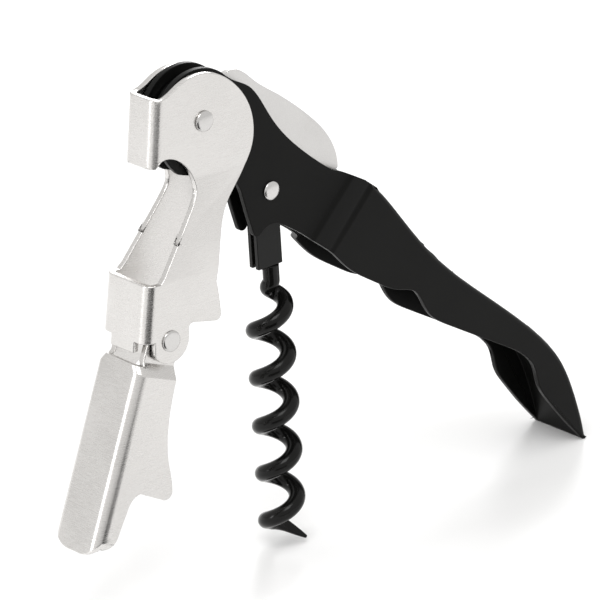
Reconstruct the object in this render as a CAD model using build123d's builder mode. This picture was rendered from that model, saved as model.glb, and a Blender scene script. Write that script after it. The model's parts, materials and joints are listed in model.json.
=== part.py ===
# Lever corkscrew with a two-step lever: a folded black handle, a folded steel lever in two parts,
# a coated worm on a strap bracket and a small folding foil blade.
# Side profiles are drawn on planes that look along +Y, each from its own pivot, in millimetres.
import os
from math import cos, pi, radians, sin

from build123d import *

os.makedirs("parts", exist_ok=True)

# ---- driving dimensions ----
main_x = -23.18  # main pivot, from the middle of the object's footprint
main_z = 80.74  # main pivot, above the surface that the object stands on
handle_tilt = -46.78  # handle's own axis, from level
lever_tilt = -4.78  # upper lever, from upright
lower_tilt = -23.18  # lower lever's own axis, from upright
worm_lean = -0.48  # worm's axis, from upright
worm_pin_at = (21.4, -1.2)  # worm pivot, from the main pivot in the handle's own axes
knee_pin_at = (-8.6, -34.8)  # knee pivot, from the main pivot in the upper lever's own axes

sheet = 1.1  # thickness of the folded sheets
fit_gap = 0.05  # running clearance between a pin and what turns on it
head_half = 2.5  # handle's head, half of its width over the cheeks
grip_half = 5.4  # handle's grip, half of its width where it leaves the head
tip_half = 6.2  # the same at the handle's tip
lever_head_half = 3.85  # lever at the main pivot, half of its width
lever_half = 5.75  # lever at the knee, half of its width
neck_half = 4.3  # lower lever's neck, which fits between the upper lever's ears

main_pin_r = 1.5
main_head_r = 1.75
worm_pin_r = 1.3
worm_head_r = 1.6
knee_pin_r = 1.4
knee_head_r = 1.8
pin_dome = 0.7  # how far a domed rivet head stands out

blade_thick = 1.0
blade_y = 0.4  # middle of the blade, off the handle's middle plane

wire_r = 1.4  # worm's wire
worm_r = 2.7  # radius of the wire's centre line about the worm's axis
worm_pitch = 8.6
worm_start = 16.65  # where the wire begins to leave the worm's axis, below the worm pivot
worm_turns = 5.3
wire_exit = 0.9  # how far off the worm's axis the wire leaves the bracket
wire_point = 3.6  # length of the ground point
bracket_wide = 5.1
bracket_half = 1.2  # half of the folded strap's depth
bracket_drop = 13.7  # strap's lower end, below the worm pivot
strap = 0.85  # thickness of each leaf of the strap

big = 60.0  # reach of the cutting solids


def side_plane(x, z, turn=0.0):
    """A plane seen along +Y, with its origin at a pivot and its x axis turned from level."""
    a = radians(turn)
    return Plane(origin=(x, 0, z), x_dir=(cos(a), 0, sin(a)), z_dir=(0, -1, 0))


def plan_plane(x, z, turn=0.0):
    """The plane seen from above the same pivot: x along the turned axis, y along the width."""
    a = radians(turn)
    return Plane(origin=(x, 0, z), x_dir=(cos(a), 0, sin(a)), z_dir=(-sin(a), 0, cos(a)))


def front_plane(x, z, turn=0.0):
    """The plane seen along the turned x axis: x along the width, y along the turned upright."""
    a = radians(turn)
    return Plane(origin=(x, 0, z), x_dir=(0, 1, 0), z_dir=(cos(a), 0, sin(a)))


def pivot(plane, at):
    """Where a point of a side plane stands, as x and z."""
    spot = plane.from_local_coords((*at, 0))
    return spot.X, spot.Z


handle_side = side_plane(main_x, main_z, handle_tilt)
handle_plan = plan_plane(main_x, main_z, handle_tilt)
lever_side = side_plane(main_x, main_z, lever_tilt)
lever_front = front_plane(main_x, main_z, lever_tilt)
worm_at = pivot(handle_side, worm_pin_at)
worm_side = side_plane(*worm_at, worm_lean)
knee_at = pivot(lever_side, knee_pin_at)
knee_side = side_plane(*knee_at, lower_tilt)
knee_front = front_plane(*knee_at, lower_tilt)

# ---- handle: one sheet folded into a channel, with two narrow cheeks as its head ----
jog_start, jog_end = 34.8, 37.4  # where the head's cheeks step out to the grip's walls
tip_at = 111.0
spine_start = 37.0  # the sheet's fold closes the top from here to the tip


def plan_profile(inset):
    """The handle seen from above, moved in from its outer faces."""
    bend = inset * 0.5
    upper = [
        (-20, head_half - inset),
        (jog_start + bend, head_half - inset),
        (jog_end + bend, grip_half - inset),
        (tip_at, tip_half - inset),
        (140, tip_half - inset),
    ]
    lower = [(u, -w) for u, w in reversed(upper)]
    return upper + lower


with BuildPart() as handle_void:
    with BuildSketch(handle_side):
        with BuildLine():
            Polyline((-20, 30), (spine_start, 30), (spine_start, 8.8))
            Spline((spine_start, 8.8), (39.5, 8.85), (46, 8.2), (58, 6.7), (70, 7.0), (88, 8.1),
                   (96, 7.2), (104, 3.9), (110, 0.4))
            Polyline((110, 0.4), (114, -3), (114, -30), (-20, -30), (-20, 30))
        make_face()
    extrude(amount=big, both=True)
    with BuildSketch(handle_plan):
        Polygon(*plan_profile(sheet), align=None)
    extrude(amount=big, both=True, mode=Mode.INTERSECT)

with BuildPart() as handle_shell:
    with BuildSketch(handle_side):
        with BuildLine():
            # nose, round the main pivot
            ThreePointArc((2.6, -9.1), (-1.3, -8.6), (-4.8, -6.9))
            ThreePointArc((-4.8, -6.9), (-8.3, -1.2), (0.2, 8.4))
            # top edge of the cheeks, dipping behind the blade
            Spline((0.2, 8.4), (5.5, 9.6), (12.5, 8.3), (22.0, 7.35), (31.0, 8.3), (36.5, 10.05),
                   tangents=((1, 0.05), (1, 0.25)))
            # spine
            Spline((36.5, 10.05), (46.0, 9.35), (58.0, 7.85), (70.0, 8.15), (88.0, 9.25), (96.5, 8.4),
                   (104.6, 5.0), (110.9, 1.1), tangents=((1, 0.1), (1, -0.75)))
            ThreePointArc((110.9, 1.1), (111.2, 0.5), (110.7, 0.15))
            # finger scallops along the lower edge
            Spline((110.7, 0.15), (105.5, 0.5), (98.8, 1.35), (95.0, 2.3), (91.6, 4.3), (88.6, 4.75),
                   (84.0, 4.0), (76.5, 2.05), (69.0, 0.15), (64.6, -0.5), (61.8, 0.1), (58.4, 0.85),
                   (54.7, -0.8), (49.5, -2.3), (43.0, -3.4), (35.5, -3.1), (29.2, -3.95), (25.9, -5.1),
                   (24.6, -7.4))
            ThreePointArc((24.6, -7.4), (24.3, -8.5), (23.2, -8.6))
            Spline((23.2, -8.6), (18.7, -6.1), (13.9, -3.9), (8.5, -5.6), (2.6, -9.1),
                   tangents=((-1, 0.55), (-0.9, -0.35)))
        make_face()
    extrude(amount=big, both=True)
    with BuildSketch(handle_plan):
        Polygon(*plan_profile(0), align=None)
    extrude(amount=big, both=True, mode=Mode.INTERSECT)
    add(handle_void.part, mode=Mode.SUBTRACT)
    with BuildSketch(handle_side):
        Circle(main_pin_r)
        with Locations(worm_pin_at):
            Circle(worm_pin_r)
    extrude(amount=big, both=True, mode=Mode.SUBTRACT)
handle_shell.part.label = "handle_shell"
export_step(handle_shell.part, "parts/handle_shell.step")

# ---- levers: sheets folded into channels ----
outer_bend, inner_bend = 1.9, 0.8  # radii of the levers' folds


def folded_channel(side, levels):
    """A folded sheet with a front wall and two cheeks, through levels: front face, height, half width."""
    blocks = []
    for inset, bend in ((0, outer_bend), (sheet, inner_bend)):
        with BuildPart() as block:
            for x, z, half in levels:
                corner = side.from_local_coords((x + inset, z, 0))
                with BuildSketch(Plane(origin=corner, x_dir=side.x_dir, z_dir=side.y_dir)):
                    with Locations((big / 2, 0)):
                        RectangleRounded(big, 2 * (half - inset), bend)
            loft(ruled=True)
        blocks.append(block.part)
    with BuildPart() as channel:
        add(blocks[0])
        add(blocks[1], mode=Mode.SUBTRACT)
    return channel.part


# ---- upper lever: box with the cap lifter's lip, two cheeks, first step and knee ears ----
upper_levels = [
    (-8.85, 20.0, lever_head_half),
    (-10.8, -9.0, lever_head_half),
    (-13.0, -24.8, lever_half),
    (-14.2, -36.6, lever_half),
    (-14.2, -50.0, lever_half),
]
upper_channel = folded_channel(lever_side, upper_levels)

with BuildPart() as upper_lever:
    add(upper_channel)
    with BuildSketch(lever_side):
        with BuildLine():
            Polyline((-20, -36.4), (-20, 5.2), (-8.7, 5.1))
            Spline((-8.7, 5.1), (-4.9, 6.9), (0.0, 8.0), (6.3, 5.1), (9.9, -0.2), (10.1, -6.0), (7.5, -10.5),
                   (4.0, -14.9), (2.0, -21.8), (1.0, -26.5), (1.9, -32.3), tangents=((1, 0.15), (0.12, -1)))
            ThreePointArc((1.9, -32.3), (1.6, -33.2), (0.7, -33.5))
            Polyline((0.7, -33.5), (-4.0, -32.7))
            Spline((-4.0, -32.7), (-4.75, -33.3), (-4.75, -34.9), tangents=((-1, 0.1), (0, -1)))
            ThreePointArc((-4.75, -34.9), (-8.6, -38.65), (-12.45, -34.8))
            Polyline((-12.45, -34.8), (-12.45, -36.4), (-20, -36.4))
        make_face()
    extrude(amount=big, both=True, mode=Mode.INTERSECT)
    # mouth between the cap lifter's lip and the bridge
    with BuildSketch(lever_side):
        with BuildLine():
            Polyline((-30, -24.9), (-30, -6.3), (-9.7, -6.3), (-8.8, -5.3))
            Spline((-8.8, -5.3), (-7.0, -5.0), (-4.3, -6.3), (-2.2, -9.2), (-1.75, -11.4), (-2.7, -13.7),
                   (-6.4, -19.3), (-9.6, -24.0), tangents=((0.6, 0.5), (-0.55, -0.8)))
            Polyline((-9.6, -24.0), (-10.5, -24.9), (-30, -24.9))
        make_face()
    extrude(amount=big, both=True, mode=Mode.SUBTRACT)
    # bend relief each side of the knee's front tab
    with BuildSketch(lever_front.offset(-16)):
        with Locations((5, -34.55), (-5, -34.55)):
            Rectangle(4.2, 10, align=(Align.CENTER, Align.MAX))
    extrude(amount=4.2, mode=Mode.SUBTRACT)
    with BuildSketch(lever_side):
        Circle(main_pin_r + fit_gap)
        with Locations(knee_pin_at):
            Circle(knee_pin_r)
    extrude(amount=big, both=True, mode=Mode.SUBTRACT)
upper_lever.part.label = "upper_lever"
export_step(upper_lever.part, "parts/upper_lever.step")

# ---- lower lever: neck, front wall with the rounded tongue, two cheeks with the second step ----
front_wall = -4.7  # outer face of the front wall, from the knee pivot
neck_end, jog_low = -4.3, -6.3  # the cheeks step out from the neck between these heights
tongue_end = -37.2
lower_levels = [
    (front_wall, 20.0, neck_half),
    (front_wall, neck_end, neck_half),
    (front_wall, jog_low, lever_half),
    (front_wall, -50.0, lever_half),
]
lower_channel = folded_channel(knee_side, lower_levels)

with BuildPart() as lower_lever:
    add(lower_channel)
    with BuildSketch(knee_side):
        with BuildLine():
            Polyline((-3.3, -1.0), (-3.3, -4.9), (-10, -4.9), (-10, tongue_end),
                     (front_wall + sheet, tongue_end), (-3.3, -35.6))
            Spline((-3.3, -35.6), (-1.3, -34.9), (-0.7, -32.5), (-0.2, -29.0), (0.3, -26.9), (1.7, -25.6))
            Polyline((1.7, -25.6), (6.6, -26.2))
            ThreePointArc((6.6, -26.2), (8.1, -25.7), (8.2, -24.3))
            Spline((8.2, -24.3), (5.85, -19.6), (4.4, -15.5), (3.5, -10.1), (3.3, -6.2), (3.3, -1.0),
                   tangents=((-0.35, 1), (0, 1)))
            ThreePointArc((3.3, -1.0), (0, 3.45), (-3.3, -1.0))
        make_face()
    extrude(amount=big, both=True, mode=Mode.INTERSECT)
    # rounded end of the tongue
    with BuildSketch(knee_front):
        Rectangle(60, 20, align=(Align.CENTER, Align.MIN))
        with Locations((0, tongue_end)):
            RectangleRounded(2 * lever_half, 60, 4.2, align=(Align.CENTER, Align.MIN))
    extrude(amount=big, both=True, mode=Mode.INTERSECT)
    with BuildSketch(knee_side):
        Circle(knee_pin_r + fit_gap)
    extrude(amount=big, both=True, mode=Mode.SUBTRACT)
lower_lever.part.label = "lower_lever"
export_step(lower_lever.part, "parts/lower_lever.step")

# ---- rivets: plain shanks with low domed heads ----
head_edge = 0.25  # straight edge under a head's dome


def rivet(x, z, shank_r, head_r, grip):
    """A rivet along Y: a shank over the grip and a domed head past each end of it."""
    with BuildPart() as pin:
        with BuildSketch(side_plane(x, z)):
            Circle(shank_r)
        extrude(amount=grip, both=True)
        with BuildSketch(Plane(origin=(x, 0, z), x_dir=(1, 0, 0), z_dir=(0, 0, 1))):
            with BuildLine():
                Line((0, grip), (head_r, grip))
                Line((head_r, grip), (head_r, grip + head_edge))
                Spline((head_r, grip + head_edge), (head_r * 0.7, grip + pin_dome * 0.85),
                       (0, grip + pin_dome), tangents=((-0.2, 1), (-1, 0)))
                Line((0, grip + pin_dome), (0, grip))
            make_face()
        revolve(axis=Axis((x, 0, z), (0, 1, 0)))
        mirror(about=Plane.XZ)
    return pin.part


with BuildPart() as main_pin:
    add(rivet(main_x, main_z, main_pin_r, main_head_r, lever_head_half + fit_gap))
main_pin.part.label = "main_pin"
export_step(main_pin.part, "parts/main_pin.step")

with BuildPart() as worm_pin:
    add(rivet(*worm_at, worm_pin_r, worm_head_r, head_half))
worm_pin.part.label = "worm_pin"
export_step(worm_pin.part, "parts/worm_pin.step")

with BuildPart() as knee_pin:
    add(rivet(*knee_at, knee_pin_r, knee_head_r, lever_half))
knee_pin.part.label = "knee_pin"
export_step(knee_pin.part, "parts/knee_pin.step")

# ---- foil blade, folded into the top of the head ----
washer_r = 6.5
blade_side = handle_side.offset(-blade_y)
blade_low, blade_high = blade_y - blade_thick / 2, blade_y + blade_thick / 2

with BuildPart() as foil_blade:
    with BuildSketch(blade_side):
        with BuildLine():
            ThreePointArc((5.6, -2.4), (-5.7, -2.1), (-0.9, 6.0))
            Spline((-0.9, 6.0), (1.4, 8.4), (2.8, 10.5), (4.4, 11.25), (7.8, 11.5), (13.5, 12.3),
                   (22.0, 13.1), (28.5, 12.6), (32.0, 11.1), (33.6, 9.7))
            Polyline((33.6, 9.7), (33.4, 7.6), (15.2, 6.0))
            Spline((15.2, 6.0), (11.2, 4.4), (8.0, 1.2), (5.6, -2.4), tangents=((-1, -0.1), (-0.6, -1)))
        make_face()
    extrude(amount=blade_thick / 2, both=True)
    with BuildSketch(blade_side):
        Circle(main_pin_r + fit_gap)
    extrude(amount=big, both=True, mode=Mode.SUBTRACT)
foil_blade.part.label = "foil_blade"
export_step(foil_blade.part, "parts/foil_blade.step")


def ring(low, high):
    """A flat washer on the main rivet between two places across the width."""
    with BuildPart() as made:
        with BuildSketch(handle_side.offset(-low)):
            Circle(washer_r)
            Circle(main_pin_r, mode=Mode.SUBTRACT)
        extrude(amount=-(high - low))
    return made.part


cheek_inside = head_half - sheet

with BuildPart() as blade_washers:
    add(ring(-cheek_inside, blade_low - fit_gap))
    add(ring(blade_high + fit_gap, cheek_inside))
blade_washers.part.label = "blade_washers"
export_step(blade_washers.part, "parts/blade_washers.step")

# ---- worm bracket: a strap folded round the worm pin, with the worm's flat tang in its fold ----
worm_down = Plane(origin=worm_side.origin, x_dir=worm_side.x_dir, z_dir=-worm_side.y_dir)

with BuildPart() as worm_bracket:
    with BuildSketch(worm_side):
        Circle(bracket_wide / 2)
        Rectangle(bracket_wide, bracket_drop, align=(Align.CENTER, Align.MAX))
    extrude(amount=bracket_half, both=True)
    # groove between the strap's two leaves, open at the near edge of the strap
    with BuildSketch(worm_side):
        with Locations((-bracket_wide / 2, -4)):
            Rectangle(0.9, bracket_drop - 4, align=(Align.MIN, Align.MAX))
    extrude(amount=bracket_half - strap, both=True, mode=Mode.SUBTRACT)
    # slot for the worm's tang
    with BuildSketch(worm_side):
        with Locations((0, -bracket_drop)):
            Rectangle(2.4, 7, align=(Align.CENTER, Align.MIN))
    extrude(amount=bracket_half - strap, both=True, mode=Mode.SUBTRACT)
    with BuildSketch(worm_side):
        Circle(worm_pin_r + fit_gap)
    extrude(amount=big, both=True, mode=Mode.SUBTRACT)
worm_bracket.part.label = "worm_bracket"
export_step(worm_bracket.part, "parts/worm_bracket.step")

# ---- worm: tang, shank, run-in and coils of one wire, ground to a point ----
run_in_turn = 0.45  # share of a turn over which the wire leaves the axis
samples_per_turn = 12
start_turn = 0.614  # where round the axis the wire sets off, in turns from +X


def worm_point(turn):
    """A point of the wire's centre line, in the worm's own axes, after a number of turns."""
    ease = min(turn / run_in_turn, 1.0)
    share = ease * ease * (3 - 2 * ease)
    r = worm_r * share
    a = 2 * pi * (start_turn + turn)
    return (wire_exit * (1 - share) + r * cos(a), r * sin(a), worm_start + worm_pitch * turn)


coil_points = [worm_point(i / samples_per_turn) for i in range(1, round(worm_turns * samples_per_turn) + 1)]

with BuildPart() as worm:
    with BuildLine(worm_down):
        path = Spline((wire_exit, 0, bracket_drop + 0.3), (wire_exit, 0, bracket_drop + 1.2), *coil_points)
    with BuildSketch(Plane(origin=path @ 0, z_dir=path % 0)):
        Circle(wire_r)
    sweep(path=path)
    # point
    end_plane = Plane(origin=path @ 1, z_dir=path % 1)
    with BuildSketch(end_plane):
        Circle(wire_r)
    with BuildSketch(end_plane.offset(wire_point)):
        Circle(0.2)
    loft()
    # flat tang inside the strap
    with BuildSketch(worm_side):
        with Locations((0, -bracket_drop - 0.6)):
            Rectangle(2.2, 6.8, align=(Align.CENTER, Align.MIN))
    extrude(amount=bracket_half - strap, both=True)
worm.part.label = "worm"
export_step(worm.part, "parts/worm.step")
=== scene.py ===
import json
from math import cos, pi, radians, sin

import bmesh
import bpy
import numpy as np
from mathutils import Matrix, Vector


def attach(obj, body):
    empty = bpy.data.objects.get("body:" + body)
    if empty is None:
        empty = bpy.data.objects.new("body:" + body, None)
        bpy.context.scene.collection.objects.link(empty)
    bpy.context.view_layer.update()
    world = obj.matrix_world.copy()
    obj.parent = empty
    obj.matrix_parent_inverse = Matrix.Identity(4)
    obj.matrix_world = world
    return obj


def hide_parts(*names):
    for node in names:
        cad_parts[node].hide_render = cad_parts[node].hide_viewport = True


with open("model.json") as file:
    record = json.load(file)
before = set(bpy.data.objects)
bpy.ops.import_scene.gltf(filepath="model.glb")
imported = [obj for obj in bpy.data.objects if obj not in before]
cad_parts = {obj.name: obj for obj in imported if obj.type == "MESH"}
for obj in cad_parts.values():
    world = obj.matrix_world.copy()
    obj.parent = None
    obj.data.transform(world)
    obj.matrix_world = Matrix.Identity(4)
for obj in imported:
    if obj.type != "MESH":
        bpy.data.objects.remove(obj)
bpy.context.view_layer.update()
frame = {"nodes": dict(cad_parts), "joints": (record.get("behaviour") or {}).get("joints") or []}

mm = 0.001
print("frame loaded:", len(frame["nodes"]), "nodes")


# materials

def newMaterial(name):
    material = bpy.data.materials.new(name)
    material.use_nodes = True
    tree = material.node_tree
    shader = tree.nodes["Principled BSDF"]
    return material, tree, shader


def stretchedNoise(tree, stretch, scale, detail, roughness=0.5):
    # noise over Object coordinates, drawn out along the axes with a small stretch
    place = tree.nodes.new("ShaderNodeTexCoord")
    mapping = tree.nodes.new("ShaderNodeMapping")
    noise = tree.nodes.new("ShaderNodeTexNoise")
    mapping.inputs["Scale"].default_value = stretch
    noise.inputs["Scale"].default_value = scale
    noise.inputs["Detail"].default_value = detail
    noise.inputs["Roughness"].default_value = roughness
    tree.links.new(place.outputs["Object"], mapping.inputs["Vector"])
    tree.links.new(mapping.outputs["Vector"], noise.inputs["Vector"])
    return noise.outputs["Fac"]


def spread(tree, value, low, high, fromLow=0.3, fromHigh=0.7):
    # a noise value moved into the range from low to high
    node = tree.nodes.new("ShaderNodeMapRange")
    node.inputs["From Min"].default_value = fromLow
    node.inputs["From Max"].default_value = fromHigh
    node.inputs["To Min"].default_value = low
    node.inputs["To Max"].default_value = high
    tree.links.new(value, node.inputs["Value"])
    return node.outputs["Result"]


def blended(tree, factor, colourA, colourB):
    node = tree.nodes.new("ShaderNodeMix")
    node.data_type = "RGBA"
    node.inputs["A"].default_value = (*colourA, 1)
    node.inputs["B"].default_value = (*colourB, 1)
    tree.links.new(factor, node.inputs["Factor"])
    return node.outputs["Result"]


def added(tree, first, second, share):
    # first plus a share of second
    node = tree.nodes.new("ShaderNodeMath")
    node.operation = "MULTIPLY_ADD"
    node.inputs[1].default_value = share
    tree.links.new(second, node.inputs[0])
    tree.links.new(first, node.inputs[2])
    return node.outputs["Value"]


def bumped(tree, shader, height, distance, strength):
    node = tree.nodes.new("ShaderNodeBump")
    node.inputs["Distance"].default_value = distance
    node.inputs["Strength"].default_value = strength
    tree.links.new(height, node.inputs["Height"])
    tree.links.new(node.outputs["Normal"], shader.inputs["Normal"])


def steelFinish(name, look):
    # fine level brushing, cloudy patches of gloss and a faint change of colour
    material, tree, shader = newMaterial(name)
    grain = stretchedNoise(tree, look["grainStretch"], look["grainScale"], 3.0, 0.6)
    cloud = stretchedNoise(tree, (1, 1, 1), look["cloudScale"], 2.0)
    tone = spread(tree, added(tree, grain, cloud, look["cloudInColour"]), 0, 1, *look["colourSpan"])
    colour = blended(tree, tone, look["darkColour"], look["lightColour"])
    tree.links.new(colour, shader.inputs["Base Color"])
    gloss = spread(tree, added(tree, grain, cloud, look["cloudInGloss"]),
                   look["glossLow"], look["glossHigh"], *look["glossSpan"])
    tree.links.new(gloss, shader.inputs["Roughness"])
    shader.inputs["Metallic"].default_value = 1.0
    bumped(tree, shader, grain, look["bumpDepth"], look["bumpStrength"])
    return material


def coatFinish(name, look):
    # a black coat: fine pebbling, cloudy gloss and a slightly rubbed tone
    material, tree, shader = newMaterial(name)
    pebble = stretchedNoise(tree, (1, 1, 1), look["pebbleScale"], 2.0, 0.55)
    cloud = stretchedNoise(tree, (1, 1, 1), look["cloudScale"], 3.0)
    tone = spread(tree, added(tree, cloud, pebble, look["pebbleInColour"]), 0, 1, *look["colourSpan"])
    colour = blended(tree, tone, look["darkColour"], look["lightColour"])
    tree.links.new(colour, shader.inputs["Base Color"])
    gloss = spread(tree, added(tree, cloud, pebble, look["pebbleInGloss"]),
                   look["glossLow"], look["glossHigh"], *look["glossSpan"])
    tree.links.new(gloss, shader.inputs["Roughness"])
    shader.inputs["Specular IOR Level"].default_value = look["sheen"]
    bumped(tree, shader, pebble, look["bumpDepth"], look["bumpStrength"])
    return material


leverSteel = {
    "grainStretch": (0.05, 0.05, 1.0),
    "grainScale": 12000.0,
    "cloudScale": 90.0,
    "darkColour": (0.63, 0.615, 0.60),
    "lightColour": (0.72, 0.705, 0.69),
    "cloudInColour": 0.6,
    "colourSpan": (0.55, 1.05),
    "glossLow": 0.22,
    "glossHigh": 0.34,
    "cloudInGloss": 0.8,
    "glossSpan": (0.6, 1.2),
    "bumpDepth": 0.000008,
    "bumpStrength": 0.16,
}
bladeSteel = dict(leverSteel, grainStretch=(0.6, 1.0, 0.6), darkColour=(0.56, 0.55, 0.54),
                  lightColour=(0.68, 0.67, 0.66), glossLow=0.26, glossHigh=0.38)
rivetSteel = dict(leverSteel, grainStretch=(1, 1, 1), grainScale=5000.0, darkColour=(0.58, 0.57, 0.56),
                  lightColour=(0.66, 0.65, 0.64), glossLow=0.16, glossHigh=0.26, bumpStrength=0.05)
handleCoat = {
    "pebbleScale": 4200.0,
    "cloudScale": 120.0,
    "darkColour": (0.0028, 0.0028, 0.0026),
    "lightColour": (0.0052, 0.0052, 0.0048),
    "pebbleInColour": 0.5,
    "colourSpan": (0.5, 1.0),
    "glossLow": 0.34,
    "glossHigh": 0.46,
    "pebbleInGloss": 0.6,
    "glossSpan": (0.6, 1.0),
    "sheen": 0.11,
    "bumpDepth": 0.00001,
    "bumpStrength": 0.35,
}
wormCoat = dict(handleCoat, glossLow=0.13, glossHigh=0.22, sheen=0.2, bumpStrength=0.12,
                pebbleScale=2500.0)

leverMaterial = steelFinish("brushedSteel", leverSteel)
bladeMaterial = steelFinish("groundSteel", bladeSteel)
rivetMaterial = steelFinish("rivetSteel", rivetSteel)
handleMaterial = coatFinish("satinBlackCoat", handleCoat)
wormMaterial = coatFinish("glossBlackCoat", wormCoat)
print("materials made")


# shapes

def gridFaces(rows, columns):
    # quads between neighbouring rows of a grid whose columns close on themselves
    row, column = np.meshgrid(np.arange(rows - 1), np.arange(columns), indexing="ij")
    beside = (column + 1) % columns
    return np.stack([row * columns + column, row * columns + beside,
                     (row + 1) * columns + beside, (row + 1) * columns + column], -1).reshape(-1, 4)


def tubePiece(name, rings, body, material):
    # rings: an array of closed loops, one row each; both ends are closed with one face
    rows, columns = rings.shape[:2]
    faces = gridFaces(rows, columns).tolist()
    faces.append(list(range(columns))[::-1])
    faces.append(list(range((rows - 1) * columns, rows * columns)))
    mesh = bpy.data.meshes.new(name)
    mesh.from_pydata(rings.reshape(-1, 3).tolist(), [], faces)
    work = bmesh.new()
    work.from_mesh(mesh)
    bmesh.ops.remove_doubles(work, verts=work.verts, dist=1e-8)
    bmesh.ops.recalc_face_normals(work, faces=work.faces)
    work.to_mesh(mesh)
    work.free()
    mesh.polygons.foreach_set("use_smooth", np.ones(len(mesh.polygons), bool))
    mesh.materials.append(material)
    piece = bpy.data.objects.new(name, mesh)
    bpy.context.scene.collection.objects.link(piece)
    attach(piece, body)
    return piece


def softenedSheet(node, body, material, look):
    # the frame's own shape with its cut edges rounded over
    mesh = frame["nodes"][node].data.copy()
    mesh.materials.clear()
    mesh.materials.append(material)
    work = bmesh.new()
    work.from_mesh(mesh)
    bmesh.ops.remove_doubles(work, verts=work.verts, dist=1e-7)
    bmesh.ops.dissolve_limit(work, angle_limit=radians(look["flatAngle"]), verts=work.verts,
                             edges=work.edges, use_dissolve_boundaries=False)
    if "folds" in look:
        look["folds"](work)
    work.to_mesh(mesh)
    work.free()
    mesh.polygons.foreach_set("use_smooth", np.ones(len(mesh.polygons), bool))
    mesh.polygons.foreach_set("material_index", np.zeros(len(mesh.polygons), np.int32))
    piece = bpy.data.objects.new(look["name"], mesh)
    bpy.context.scene.collection.objects.link(piece)
    if "folds" in look:
        fold = piece.modifiers.new("roundedFolds", "BEVEL")
        fold.width = look["foldRound"]
        fold.segments = look["foldSteps"]
        fold.limit_method = "WEIGHT"
        fold.use_clamp_overlap = False
    rounding = piece.modifiers.new("roundedEdges", "BEVEL")
    rounding.width = look["edgeRound"]
    rounding.segments = look["edgeSteps"]
    rounding.limit_method = "ANGLE"
    rounding.angle_limit = radians(look["edgeAngle"])
    rounding.use_clamp_overlap = False
    rounding.harden_normals = True
    even = piece.modifiers.new("evenShading", "WEIGHTED_NORMAL")
    even.mode = "FACE_AREA"
    even.weight = look["evenWeight"]
    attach(piece, body)
    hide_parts(node)
    return piece


jointAt = {j["name"]: j["pos_m"] for j in frame["joints"]}
handleFolds = {
    "tilt": -46.78,
    "spineFrom": 37.2 * mm,
    "spineShare": 1.0,
    "jogFrom": 33.5 * mm,
    "jogTo": 38.8 * mm,
    "jogShare": 0.75,
    "riseOver": 0.5,
    "flankOver": 0.9,
    "foldTurnOver": 1.2,
    "jogLevelUnder": 0.1,
    "jogTurnOver": 0.5,
}


def markHandleFolds(work):
    # the long fold along the spine, and the two bends where the cheeks step out to the walls;
    # the handle's own axes are tilted, and angles between faces are in radians
    limits = handleFolds
    tilt = radians(limits["tilt"])
    along = Vector((cos(tilt), 0, sin(tilt)))
    over = Vector((-sin(tilt), 0, cos(tilt)))
    pivot = Vector(jointAt["lever_hinge"])
    share = work.edges.layers.float.new("bevel_weight_edge")
    for edge in work.edges:
        if len(edge.link_faces) != 2:
            continue
        first, second = (f.normal for f in edge.link_faces)
        place = ((edge.verts[0].co + edge.verts[1].co) / 2 - pivot).dot(along)
        rise = max(first.dot(over), second.dot(over))
        flank = max(abs(first.y), abs(second.y))
        turned = edge.calc_face_angle(0)
        sharp = turned > limits["foldTurnOver"]
        onSpine = place > limits["spineFrom"] and rise > limits["riseOver"]
        if onSpine and flank > limits["flankOver"] and sharp:
            edge[share] = limits["spineShare"]
        level = max(abs(first.dot(over)), abs(second.dot(over)))
        bend = limits["jogTurnOver"] < turned < limits["foldTurnOver"]
        if limits["jogFrom"] < place < limits["jogTo"] and level < limits["jogLevelUnder"] and bend:
            edge[share] = limits["jogShare"]


sheetEdges = {
    "flatAngle": 0.3,
    "edgeRound": 0.16 * mm,
    "edgeSteps": 2,
    "edgeAngle": 32.0,
    "evenWeight": 60,
}
handleLook = dict(sheetEdges, name="handleShell", folds=markHandleFolds, foldRound=1.0 * mm, foldSteps=5)
upperLook = dict(sheetEdges, name="upperLever")
lowerLook = dict(sheetEdges, name="lowerLever")
bladeLook = dict(sheetEdges, name="foilBlade", edgeRound=0.1 * mm)
bracketLook = dict(sheetEdges, name="wormBracket", edgeRound=0.12 * mm)
washerLook = dict(sheetEdges, name="bladeWashers", edgeRound=0.08 * mm)

softenedSheet("handle_shell", "handle", handleMaterial, handleLook)
softenedSheet("blade_washers", "handle", handleMaterial, washerLook)
softenedSheet("upper_lever", "lever", leverMaterial, upperLook)
softenedSheet("lower_lever", "lever_end", leverMaterial, lowerLook)
softenedSheet("foil_blade", "blade", bladeMaterial, bladeLook)
softenedSheet("worm_bracket", "worm_arm", wormMaterial, bracketLook)
print("folded sheets made")


# worm: one wire that leaves the bracket straight, eases out to its coil and ends in a ground point

wormShape = {
    "lean": -0.48,
    "wire": 1.4 * mm,
    "coil": 2.7 * mm,
    "pitch": 8.6 * mm,
    "coilStart": 16.65 * mm,
    "straightStart": 13.9 * mm,
    "exitOffset": 0.9 * mm,
    "runIn": 0.45,
    "setOff": 0.614,
    "turns": 5.3,
    "pointLength": 3.5 * mm,
    "pointTip": 0.22 * mm,
    "tipShare": 0.4,
    "grindFrom": 6.5 * mm,
    "grindPower": 0.8,
}


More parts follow.
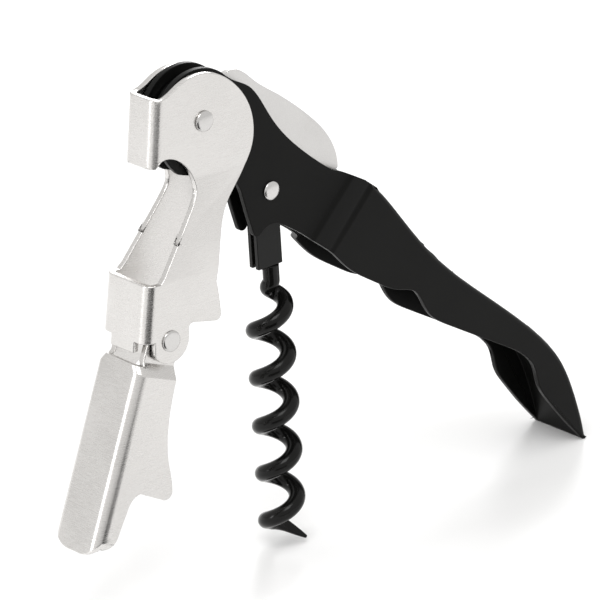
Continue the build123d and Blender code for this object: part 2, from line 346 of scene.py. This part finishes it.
def wormRings(shape, samples=720, around=28):
    # centre line: straight down at the exit offset, then a helix whose radius eases out by the
    # smooth step of turn over run-in, then a straight point along the last tangent
    turn = np.linspace(0, shape["turns"], samples)
    ease = np.clip(turn / shape["runIn"], 0, 1)
    share = ease * ease * (3 - 2 * ease)
    angle = 2 * pi * (shape["setOff"] + turn)
    coil = np.stack([shape["exitOffset"] * (1 - share) + shape["coil"] * share * np.cos(angle),
                     shape["coil"] * share * np.sin(angle),
                     shape["coilStart"] + shape["pitch"] * turn], -1)
    drop = np.linspace(shape["straightStart"], shape["coilStart"], 30)[:-1]
    straight = np.stack([np.full_like(drop, shape["exitOffset"]), np.zeros_like(drop), drop], -1)
    last = coil[-1] - coil[-2]
    last = last / np.linalg.norm(last)
    run = np.linspace(0, shape["pointLength"], 40)[1:]
    point = coil[-1] + run[:, None] * last
    line = np.concatenate([straight, coil, point])
    # wire's radius: even, then falling to the tip by a power of what is left of the ground length
    step = np.linalg.norm(np.diff(line, axis=0), axis=1)
    left = np.concatenate([np.cumsum(step[::-1])[::-1], [0.0]])
    ground = np.clip(left / shape["grindFrom"], 0, 1)
    radius = shape["pointTip"] + (shape["wire"] - shape["pointTip"]) * ground ** shape["grindPower"]
    radius[-1] = shape["pointTip"] * shape["tipShare"]
    tangent = np.gradient(line, axis=0)
    tangent /= np.linalg.norm(tangent, axis=1)[:, None]
    side = np.cross(tangent, (1.0, 0.0, 0.0))
    side /= np.linalg.norm(side, axis=1)[:, None]
    across = np.cross(side, tangent)
    turnRound = np.linspace(0, 2 * pi, around, endpoint=False)
    outward = (np.cos(turnRound)[None, :, None] * across[:, None, :]
               + np.sin(turnRound)[None, :, None] * side[:, None, :])
    return line[:, None, :] + radius[:, None, None] * outward


def fromWormAxes(points, shape):
    # the worm's own axes: x across the strap, y through the object, z down the worm from its pivot
    lean = radians(shape["lean"])
    along = np.array([cos(lean), 0, sin(lean)])
    through = np.array([0, -1.0, 0])
    down = np.array([sin(lean), 0, -cos(lean)])
    pivot = np.array(jointAt["worm_hinge"])
    return pivot + points[..., :1] * along + points[..., 1:2] * through + points[..., 2:] * down


tangShape = {
    "halfWide": 1.1 * mm,
    "halfThick": 0.35 * mm,
    "top": 7.5 * mm,
    "bottom": 14.3 * mm,
    "round": 0.12 * mm,
    "power": 8,
}


def tangRings(shape, around=32):
    # a rounded rectangle, by a superellipse of that power, carried down the worm's axis
    turnRound = np.linspace(0, 2 * pi, around, endpoint=False)
    c, s = np.cos(turnRound), np.sin(turnRound)
    x = np.sign(c) * np.abs(c) ** (2 / shape["power"])
    y = np.sign(s) * np.abs(s) ** (2 / shape["power"])
    depth = np.array([shape["top"], shape["top"] + shape["round"],
                      shape["bottom"] - shape["round"], shape["bottom"]])
    shrink = np.array([shape["round"], 0, 0, shape["round"]])
    return np.stack([(shape["halfWide"] - shrink)[:, None] * x, (shape["halfThick"] - shrink)[:, None] * y,
                     np.repeat(depth[:, None], around, 1)], -1)


worm = tubePiece("worm", fromWormAxes(wormRings(wormShape), wormShape), "worm_arm", wormMaterial)
tubePiece("wormTang", fromWormAxes(tangRings(tangShape), wormShape), "worm_arm", wormMaterial)
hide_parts("worm")
print("worm made")


# rivets: surfaces turned about an axis across the object

mainRivet = {"shank": 1.5 * mm, "head": 1.75 * mm, "grip": 3.9 * mm, "edge": 0.22 * mm, "dome": 0.68 * mm,
             "domePower": 2.2}
wormRivet = {"shank": 1.3 * mm, "head": 1.6 * mm, "grip": 2.5 * mm, "edge": 0.22 * mm, "dome": 0.66 * mm,
             "domePower": 2.4}
kneeRivet = {"shank": 1.4 * mm, "head": 1.78 * mm, "grip": 5.75 * mm, "edge": 0.16 * mm, "dome": 0.42 * mm,
             "domePower": 6.0}


def rivetRings(shape, centre, around=64):
    # half profile from the middle of a head to the middle of the grip, then its mirror image:
    # the dome's height falls with a power of the radius
    out = np.linspace(0, 1, 22) ** 0.7
    domeHeight = shape["edge"] + (shape["dome"] - shape["edge"]) * (1 - out ** shape["domePower"]) ** 0.6
    radius = np.concatenate([out * shape["head"], [shape["head"], shape["shank"], shape["shank"]]])
    height = np.concatenate([shape["grip"] + domeHeight, [shape["grip"] + 0.005 * mm] * 2, [0.0]])
    radius[0] = 0.02 * mm
    radius = np.concatenate([radius, radius[-2::-1]])
    height = np.concatenate([height, -height[-2::-1]])
    turnRound = np.linspace(0, 2 * pi, around, endpoint=False)
    return np.stack([centre[0] + radius[:, None] * np.cos(turnRound),
                     np.repeat(height[:, None], around, 1),
                     centre[2] + radius[:, None] * np.sin(turnRound)], -1)


rivets = {
    "mainRivet": (mainRivet, "lever_hinge", "handle", "main_pin"),
    "wormRivet": (wormRivet, "worm_hinge", "handle", "worm_pin"),
    "kneeRivet": (kneeRivet, "knee_hinge", "lever", "knee_pin"),
}
for name, (shape, joint, body, node) in rivets.items():
    piece = tubePiece(name, rivetRings(shape, jointAt[joint]), body, rivetMaterial)
    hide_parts(node)
print("rivets made")


# stage: pale floor, soft light, dark card for the folds to mirror, camera

studio = {
    "floorColour": (0.9, 0.9, 0.9),
    "skyColour": (1.0, 0.995, 0.985),
    "skyStrength": 0.86,
    "keyPower": 2.2,
    "keySize": 0.4,
    "stripPower": 2.2,
}

floorMesh = bpy.data.meshes.new("floor")
floorMesh.from_pydata([(-4, -4, 0), (4, -4, 0), (4, 4, 0), (-4, 4, 0)], [], [(0, 1, 2, 3)])
floor = bpy.data.objects.new("floor", floorMesh)
bpy.context.scene.collection.objects.link(floor)
floorMaterial, floorTree, floorShader = newMaterial("paleFloor")
floorTree.links.new(blended(floorTree, stretchedNoise(floorTree, (1, 1, 1), 6.0, 2.0), (0.89, 0.89, 0.89),
                            studio["floorColour"]), floorShader.inputs["Base Color"])
floorShader.inputs["Roughness"].default_value = 0.9
floorShader.inputs["Specular IOR Level"].default_value = 0.0
floorMesh.materials.append(floorMaterial)

world = bpy.data.worlds.new("softSky")
bpy.context.scene.world = world
world.use_nodes = True
sky = world.node_tree.nodes["Background"]
sky.inputs["Color"].default_value = (*studio["skyColour"], 1)
sky.inputs["Strength"].default_value = studio["skyStrength"]


def softLight(name, place, target, width, height, power):
    data = bpy.data.lights.new(name, "AREA")
    data.shape = "RECTANGLE"
    data.size = width
    data.size_y = height
    data.energy = power
    light = bpy.data.objects.new(name, data)
    light.location = place
    light.rotation_mode = "QUATERNION"
    light.rotation_quaternion = (Vector(target) - Vector(place)).to_track_quat("-Z", "Y")
    bpy.context.scene.collection.objects.link(light)
    return light


middle = (0, 0, 0.04)
lights = {
    "keyLight": {"place": (-0.35, -0.35, 0.75), "size": (studio["keySize"], studio["keySize"]),
                 "power": studio["keyPower"]},
    "backStrip": {"place": (0.45, 0.45, 0.4), "size": (0.1, 0.5), "power": studio["stripPower"]},
    "sideStrip": {"place": (-0.6, 0.15, 0.3), "size": (0.08, 0.5), "power": studio["stripPower"] * 0.6},
}
for name, light in lights.items():
    softLight(name, light["place"], middle, *light["size"], light["power"])


def darkCard(name, corners):
    mesh = bpy.data.meshes.new(name)
    mesh.from_pydata(corners, [], [(0, 1, 2, 3)])
    card = bpy.data.objects.new(name, mesh)
    bpy.context.scene.collection.objects.link(card)
    material, tree, shader = newMaterial(name)
    shader.inputs["Base Color"].default_value = (0.02, 0.02, 0.02, 1)
    shader.inputs["Specular IOR Level"].default_value = 0.0
    mesh.materials.append(material)
    card.visible_camera = False
    card.visible_diffuse = False
    card.visible_shadow = False
    return card


shot = {
    "azimuth": -38.819,
    "elevation": 22.559,
    "roll": -3.929,
    "distance": 0.9015,
    "across": -4.897 * mm,
    "above": 38.057 * mm,
    "lens": 321.2,
}
azimuth, elevation, roll = (radians(shot[turn]) for turn in ("azimuth", "elevation", "roll"))
back = Vector((sin(azimuth) * cos(elevation), -cos(azimuth) * cos(elevation), sin(elevation)))
level = Vector((cos(azimuth), sin(azimuth), 0))
upright = back.cross(level)
rightWay = level * cos(roll) + upright * sin(roll)
upWay = upright * cos(roll) - level * sin(roll)

# the card lies in front of the object, below the camera, outside its view
front = Vector((sin(azimuth), -cos(azimuth), 0))
cardShape = {"near": 0.06, "far": 0.6, "nearHalf": 0.03, "farHalf": 0.28, "height": 0.001}
lift = Vector((0, 0, cardShape["height"]))
darkCard("foldCard", [tuple(front * cardShape[reach] + level * (side * cardShape[half]) + lift)
                      for reach, half, side in (("near", "nearHalf", -1), ("near", "nearHalf", 1),
                                                ("far", "farHalf", 1), ("far", "farHalf", -1))])

cameraData = bpy.data.cameras.new("camera")
cameraData.sensor_width = 36.0
cameraData.lens = shot["lens"]
cameraData.clip_start = 0.01
camera = bpy.data.objects.new("camera", cameraData)
target = rightWay * shot["across"] + upWay * shot["above"]
pose = Matrix((rightWay, upWay, back)).transposed().to_4x4()
pose.translation = target + back * shot["distance"]
camera.matrix_world = pose
bpy.context.scene.collection.objects.link(camera)
bpy.context.scene.camera = camera
bpy.context.scene.view_settings.view_transform = "Standard"
print("stage set")
